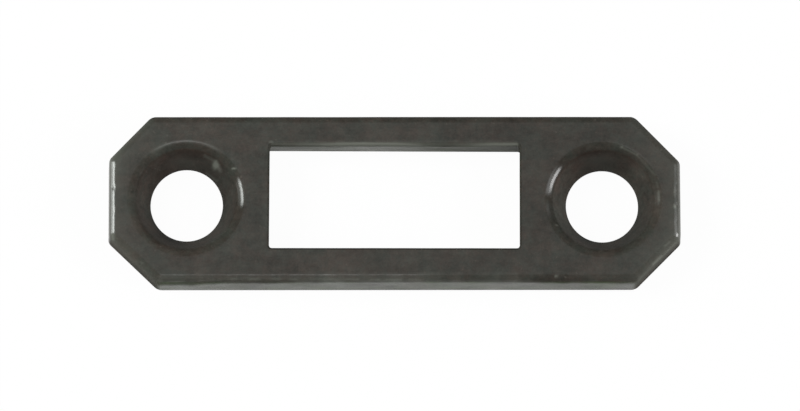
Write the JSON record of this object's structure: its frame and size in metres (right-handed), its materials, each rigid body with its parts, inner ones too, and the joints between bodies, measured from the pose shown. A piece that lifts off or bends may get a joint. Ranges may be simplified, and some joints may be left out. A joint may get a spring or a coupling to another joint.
{
  "type": "door strike plate",
  "caption": "Small oblong door strike plate with cut-off corners, a rectangular cut-out for the bolt and a countersunk screw hole at each end.",
  "frame": {"origin": "centre of the flat back face, midway between the two screw holes", "axes": "+X along the plate from screw hole to screw hole, +Y across the plate towards the side that the bolt cut-out is nearer to, +Z out of the front face, away from the frame that the plate is screwed to"},
  "size_m": [0.0442, 0.0132, 0.003],
  "materials": {
    "dark_finish": "satin"
  },
  "bodies": {
    "root": {"strike_plate": "dark_finish"}
  },
  "joints": []
}
